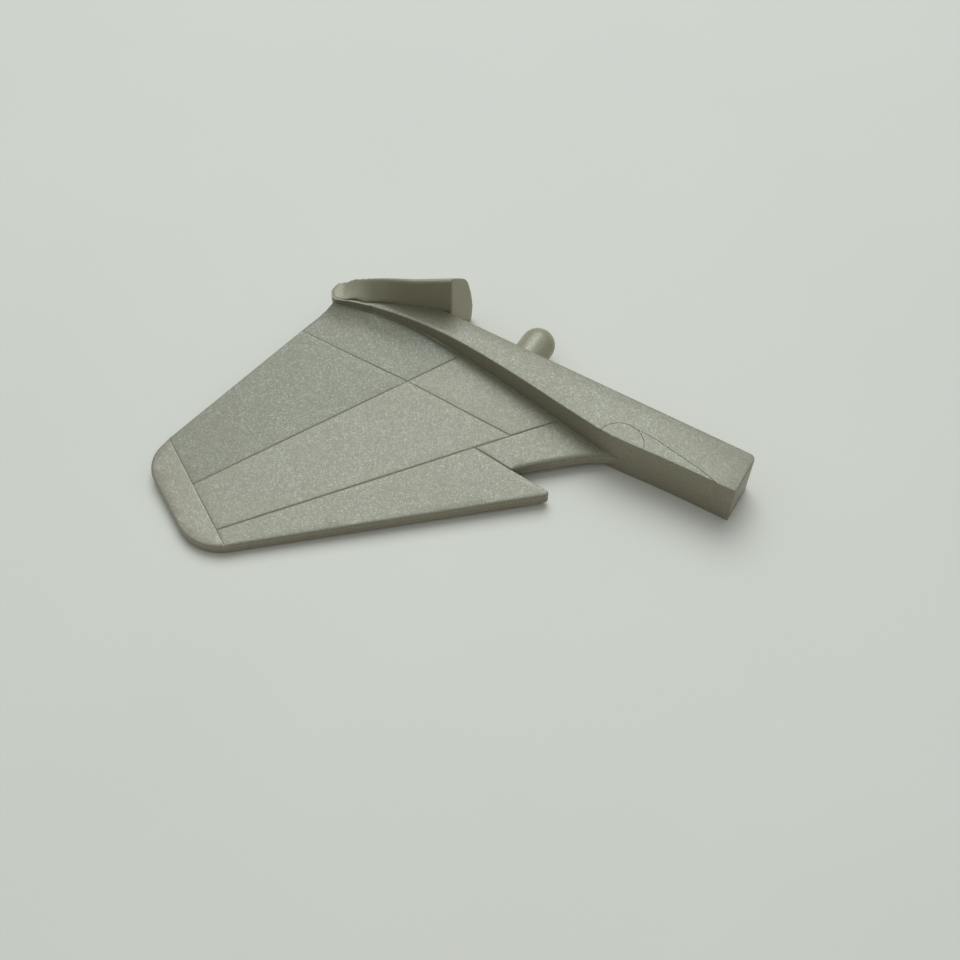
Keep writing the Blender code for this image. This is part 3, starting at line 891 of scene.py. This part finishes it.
class WING_OT_mounting_peg(bpy.types.Operator):
    """Model the mounting peg with its domed end"""

    bl_idname = "wing.mounting_peg"
    bl_label = "Mounting peg"

    def execute(self, context):
        """Bevel one end of a cylinder into a dome."""
        finish = context.scene.wing_finish
        deselect()
        length = PEG_TIP_Y + PEG_SEAT
        bpy.ops.mesh.primitive_cylinder_add(
            vertices=64, radius=PEG_RADIUS * MM, depth=length * MM,
            location=plan(PEG_X, (PEG_TIP_Y - PEG_SEAT) / 2, PEG_Z), rotation=(math.pi / 2, 0.0, 0.0),
        )
        peg = bpy.context.object
        peg.name = peg.data.name = "mounting_peg_pin"
        bpy.ops.object.transform_apply(location=True, rotation=True, scale=True)
        pick(peg, "EDGE", lambda point: point.y > PEG_TIP_Y - 0.01)
        bpy.ops.mesh.bevel(offset=PEG_DOME * PEG_RADIUS * MM, segments=14, profile=0.5, clamp_overlap=True)
        bpy.ops.object.mode_set(mode="OBJECT")
        plastic = pearl_plastic("pearl_abs_peg_plastic", finish.cowl_grey, finish)
        finished(peg, "mounting_peg", plastic)
        return {"FINISHED"}


class WING_OT_rear_cowl(bpy.types.Operator):
    """Model the cowl that stands on the rail's nose"""

    bl_idname = "wing.rear_cowl"
    bl_label = "Rear cowl"

    def execute(self, context):
        """Sweep the cowl's section, lean its inner wall, trim it to the nose and seat it on the rail."""
        finish = context.scene.wing_finish
        foot, ridge, *back = COWL_SECTION
        wall = [(ridge[0] * i / 8, ridge[1] * (0.5 + i / 16)) for i in range(9)]
        section = [Vector((0.0, -side, height)) for side, height in (foot, *wall, *back)]
        outline = section[:11] + spline(section[10:], 4)[1:]
        cowl = trace("rear_cowl_hood", [point * MM for point in outline])
        bpy.ops.object.mode_set(mode="EDIT")
        bpy.ops.mesh.select_all(action="SELECT")
        bpy.ops.transform.translate(value=(-COWL_OVERRUN * MM, 0.0, 0.0))
        self.scale_ring(-COWL_OVERRUN, 0.0)
        bpy.ops.mesh.extrude_region_move(
            TRANSFORM_OT_translate={"value": ((COWL_LENGTH + COWL_OVERRUN) * MM, 0.0, 0.0)}
        )
        self.scale_ring(COWL_LENGTH, -COWL_OVERRUN)
        for run in range(int(COWL_LENGTH)):
            bpy.ops.mesh.select_all(action="SELECT")
            bpy.ops.mesh.bisect(plane_co=(run * MM, 0.0, 0.0), plane_no=(1.0, 0.0, 0.0))
        bpy.ops.mesh.select_all(action="SELECT")
        bpy.ops.mesh.normals_make_consistent(inside=False)
        bpy.ops.object.mode_set(mode="OBJECT")
        self.lean_wall(cowl)
        cowl.rotation_euler.z = COWL_ANGLE
        cowl.location = plan(*COWL_END)
        bpy.ops.object.transform_apply(location=True, rotation=True, scale=True)
        behind = vectors((BEHIND_COWL,))[0]
        edge = [point for point in RAIL_LINE if point.x < COWL_END[0]]
        limit_outline = [
            *edge, Vector((COWL_END[0], edge[-1].y, 0.0)), Vector((COWL_END[0], behind.y, 0.0)), behind,
            *nose_outline(behind, edge[0]),
        ]
        limit = plan_face("cowl_limit", limit_outline, 20.0)
        thicken(limit, 40.0)
        carved(cowl, limit, "INTERSECT")
        self.soften(cowl)
        seat = plan_face("rail_seat", vectors(SEAT_PLAN), RAIL_TOP - SEAT_SINK)
        thicken(seat, 40.0)
        carved(cowl, seat)
        plastic = pearl_plastic("pearl_abs_cowl_plastic", finish.cowl_grey, finish, COWL_SPARKLE)
        finished(cowl, "rear_cowl", plastic)
        return {"FINISHED"}

    def scale_ring(self, run, before):
        """Scale the section about the cowl's foot line from one run to another."""
        width = (1 - COWL_WIDTH_TAPER * run) / (1 - COWL_WIDTH_TAPER * before)
        height = (1 - COWL_HEIGHT_TAPER * run) / (1 - COWL_HEIGHT_TAPER * before)
        bpy.ops.transform.resize(value=(1.0, width, height), center_override=(0.0, 0.0, 0.0))

    def lean_wall(self, cowl):
        """Lean the hood back in a hollow curve and lower its ridge, more and more towards the nose."""
        for vertex in cowl.data.vertices:
            run, side, height = vertex.co.x / MM, -vertex.co.y / MM, vertex.co.z / MM
            ridge = COWL_SECTION[1][1] * (1 - COWL_HEIGHT_TAPER * run)
            rise = (height - RAIL_TOP) / (ridge - RAIL_TOP)
            if rise > 0:
                progress = min(max((run - COWL_LEAN_START) / (COWL_LEAN_END - COWL_LEAN_START), 0.0), 1.0)
                width = COWL_SECTION[-2][0] * (1 - COWL_WIDTH_TAPER * run)
                share = max(1 - side / width, 0.0) * progress ** 1.3
                vertex.co.y -= (COWL_LEAN * rise ** 1.4 - COWL_FOOT * (1 - rise) ** 2) * share * MM
                vertex.co.z -= COWL_DROP * progress ** 2 * rise * MM

    def soften(self, cowl):
        """Melt the cowl's edges into the soft corners of a moulding."""
        activate(cowl)
        remesh = cowl.modifiers.new("remesh", "REMESH")
        remesh.mode = "VOXEL"
        remesh.voxel_size = COWL_VOXEL * MM
        bpy.ops.object.modifier_apply(modifier=remesh.name)
        smooth = cowl.modifiers.new("smooth", "SMOOTH")
        smooth.factor = 0.5
        smooth.iterations = COWL_SMOOTHING
        bpy.ops.object.modifier_apply(modifier=smooth.name)


class WING_OT_stage(bpy.types.Operator):
    """Set up the table, the camera and the light"""

    bl_idname = "wing.stage"
    bl_label = "Stage"

    def execute(self, context):
        """Add a pale table, the studio air, a large soft light above and behind, and the camera."""
        stage = context.scene.wing_stage
        deselect()
        bpy.ops.mesh.primitive_circle_add(vertices=128, radius=stage.table_radius, fill_type="NGON")
        table = context.object
        table.name = table.data.name = "table_top"
        bpy.ops.object.mode_set(mode="EDIT")
        bpy.ops.mesh.extrude_region_move(TRANSFORM_OT_translate={"value": (0.0, 0.0, -TABLE_THICKNESS * MM)})
        bpy.ops.mesh.select_all(action="SELECT")
        bpy.ops.mesh.normals_make_consistent(inside=False)
        bpy.ops.object.mode_set(mode="OBJECT")
        table.data.materials.append(table_laminate("matt_laminate_table", stage.table_colour))
        world = bpy.data.worlds.new("studio_air")
        context.scene.world = world
        world.use_nodes = True
        tree = world.node_tree
        air = tree.nodes["Background"]
        air.inputs["Color"].default_value = srgb(stage.light_colour)
        place = add(tree, "ShaderNodeTexCoord").outputs["Generated"]
        height = add(tree, "ShaderNodeSeparateXYZ", {}, {"Vector": place}).outputs["Z"]
        glow = add(
            tree, "ShaderNodeMapRange",
            {"interpolation_type": "SMOOTHSTEP", "From Min": 0.15, "From Max": 0.85,
             "To Min": 0.08, "To Max": stage.sky_strength},
            {"Value": height},
        )
        tree.links.new(glow.outputs["Result"], air.inputs["Strength"])
        bpy.ops.object.light_add(type="AREA", location=KEY_PLACE)
        key = context.object
        key.name = key.data.name = "overhead_softbox"
        key.data.shape = "SQUARE"
        key.data.size = KEY_SIZE
        key.data.color = srgb(stage.light_colour)[:3]
        key.data.energy = stage.key_power
        key.rotation_euler = (-key.location).to_track_quat("-Z", "Y").to_euler()
        bpy.ops.object.camera_add(location=stage.camera_place)
        camera = context.object
        camera.name = camera.data.name = "table_camera"
        camera.rotation_euler = Vector(stage.camera_aim).to_track_quat("-Z", "Y").to_euler()
        camera.data.lens = stage.lens
        camera.data.sensor_width = 36.0
        camera.data.clip_start = 5 * MM
        camera.data.clip_end = 20.0
        context.scene.camera = camera
        context.scene.view_settings.view_transform = "Standard"
        return {"FINISHED"}


PIECE_OPERATORS = (
    WING_OT_upper_panels,
    WING_OT_lower_skin,
    WING_OT_root_rail,
    WING_OT_inlays,
    WING_OT_mounting_peg,
    WING_OT_rear_cowl,
    WING_OT_stage,
)


class WING_PT_sidebar(bpy.types.Panel):
    """Sizes, finishes and steps of the wing half."""

    bl_label = "Swept Wing Half"
    bl_idname = "WING_PT_sidebar"
    bl_space_type = "VIEW_3D"
    bl_region_type = "UI"
    bl_category = "Wing"

    def draw(self, context):
        """List the settings and the operators."""
        for group in (context.scene.wing_detail, context.scene.wing_finish, context.scene.wing_stage):
            box = self.layout.box()
            for key in group.bl_rna.properties.keys():
                if key not in {"rna_type", "name"}:
                    box.prop(group, key)
        for operator in PIECE_OPERATORS:
            self.layout.operator(operator.bl_idname)


CLASSES = (WingDetailSettings, WingFinishSettings, WingStageSettings, *PIECE_OPERATORS, WING_PT_sidebar)


def register():
    """Register the classes and the settings."""
    for item in CLASSES:
        bpy.utils.register_class(item)
    bpy.types.Scene.wing_detail = PointerProperty(type=WingDetailSettings)
    bpy.types.Scene.wing_finish = PointerProperty(type=WingFinishSettings)
    bpy.types.Scene.wing_stage = PointerProperty(type=WingStageSettings)


def unregister():
    """Remove the settings and the classes."""
    del bpy.types.Scene.wing_stage
    del bpy.types.Scene.wing_finish
    del bpy.types.Scene.wing_detail
    for item in reversed(CLASSES):
        bpy.utils.unregister_class(item)


def main():
    """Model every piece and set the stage."""
    register()
    bpy.ops.wing.upper_panels()
    bpy.ops.wing.lower_skin()
    bpy.ops.wing.root_rail()
    bpy.ops.wing.inlays()
    bpy.ops.wing.mounting_peg()
    bpy.ops.wing.rear_cowl()
    bpy.ops.wing.stage()
    deselect()


if __name__ == "__main__":
    main()
